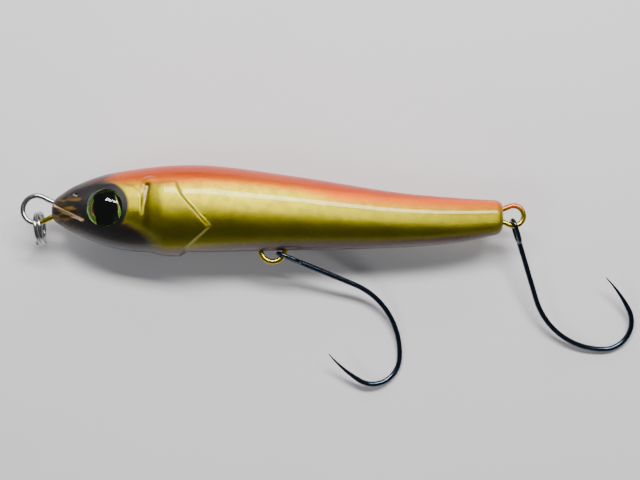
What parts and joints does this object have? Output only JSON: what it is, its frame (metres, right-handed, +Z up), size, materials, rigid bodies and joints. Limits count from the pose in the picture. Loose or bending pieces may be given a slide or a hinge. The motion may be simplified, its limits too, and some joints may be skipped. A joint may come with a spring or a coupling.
{
  "type": "hard minnow fishing lure",
  "caption": "Slim pointed minnow lure in foil with an orange back, clear domed eyes, raised gill covers, a bent through wire, a split ring at the nose and barbless hooks at belly and tail.",
  "frame": {"origin": "centre of the footprint on the ground, with the lure lying on its right flank", "axes": "+X from nose to tail, +Y towards the back (dorsal side), +Z up out of the left flank"},
  "size_m": [0.117, 0.042, 0.0138],
  "materials": {
    "wood": "sanded and sealed",
    "foil_lacquer": "embossed gold foil under clear lacquer, orange back",
    "gill_foil": "gold foil under clear lacquer",
    "eye_print": "printed iris and pupil",
    "eye_resin": "clear dome",
    "wire_steel": "bright wire with overspray",
    "lead": "dull grey",
    "ring_steel": "bright",
    "hook_steel": "black nickel"
  },
  "bodies": {
    "lure_body": {"body_left_half": "wood", "body_right_half": "wood", "foil_skin_left": "foil_lacquer", "foil_skin_right": "foil_lacquer", "gill_plate_left": "gill_foil", "gill_plate_right": "gill_foil", "eye_disc_left": "eye_print", "eye_disc_right": "eye_print", "eye_dome_left": "eye_resin", "eye_dome_right": "eye_resin", "through_wire": "wire_steel", "belly_weight": "lead", "rear_weight": "lead"},
    "split_ring": {"nose_split_ring": "ring_steel"},
    "belly_hook_body": {"belly_hook": "hook_steel"},
    "tail_hook_body": {"tail_hook": "hook_steel"}
  },
  "joints": [
    {"name": "split_ring_swing", "type": "hinge", "parent": "lure_body", "child": "split_ring", "pos_m": [-0.05544, 0.01252, 0.0069], "axis": [0, 0, 1], "range_deg": [-175, 5]},
    {"name": "belly_hook_swing", "type": "hinge", "parent": "lure_body", "child": "belly_hook_body", "pos_m": [-0.01074, 0.00491, 0.0069], "axis": [0, 0, 1], "range_deg": [-98, 0.5]},
    {"name": "tail_hook_swing", "type": "hinge", "parent": "lure_body", "child": "tail_hook_body", "pos_m": [0.03476, 0.01132, 0.0069], "axis": [0, 0, 1], "range_deg": [-40, 190]}
  ]
}
